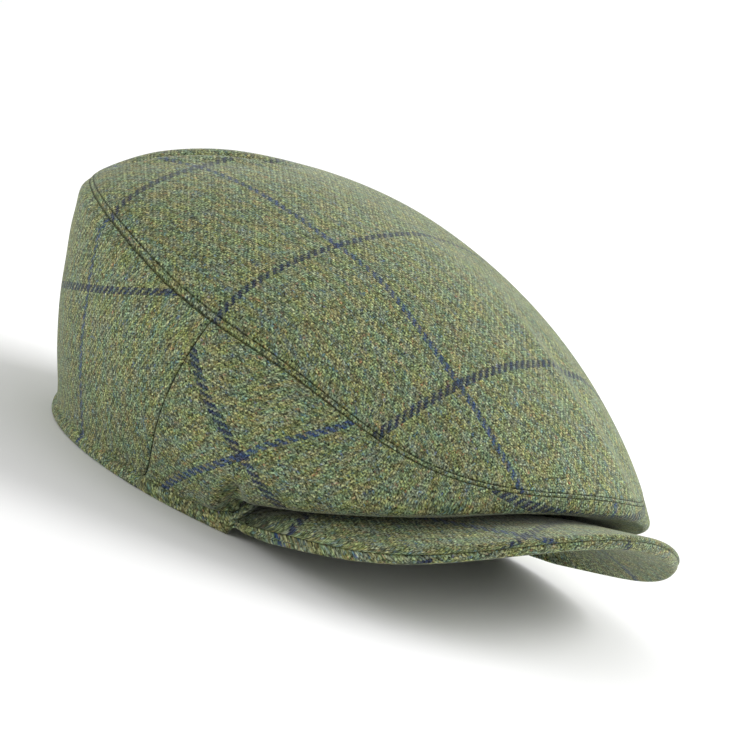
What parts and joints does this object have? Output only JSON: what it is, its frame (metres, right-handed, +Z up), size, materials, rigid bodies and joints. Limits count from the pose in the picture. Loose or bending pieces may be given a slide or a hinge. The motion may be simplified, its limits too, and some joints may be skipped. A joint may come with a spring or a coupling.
{
  "type": "tweed flat cap",
  "caption": "Flat cap of checked tweed: domed oval top panel, side panels seamed at each side, turned rim hem and an arched two-layer peak under the overhanging front.",
  "frame": {"origin": "on the surface the cap rests on, under the middle of the whole cap's length and width", "axes": "+Z up, -Y towards the peak, -X towards the wearer's right"},
  "size_m": [0.2006, 0.257, 0.1108],
  "materials": {
    "tweed": "matt"
  },
  "bodies": {
    "root": {"top_panel": "tweed", "front_side_panel": "tweed", "back_side_panel": "tweed", "rim_hem": "tweed", "peak_top": "tweed", "peak_under": "tweed"}
  },
  "joints": []
}
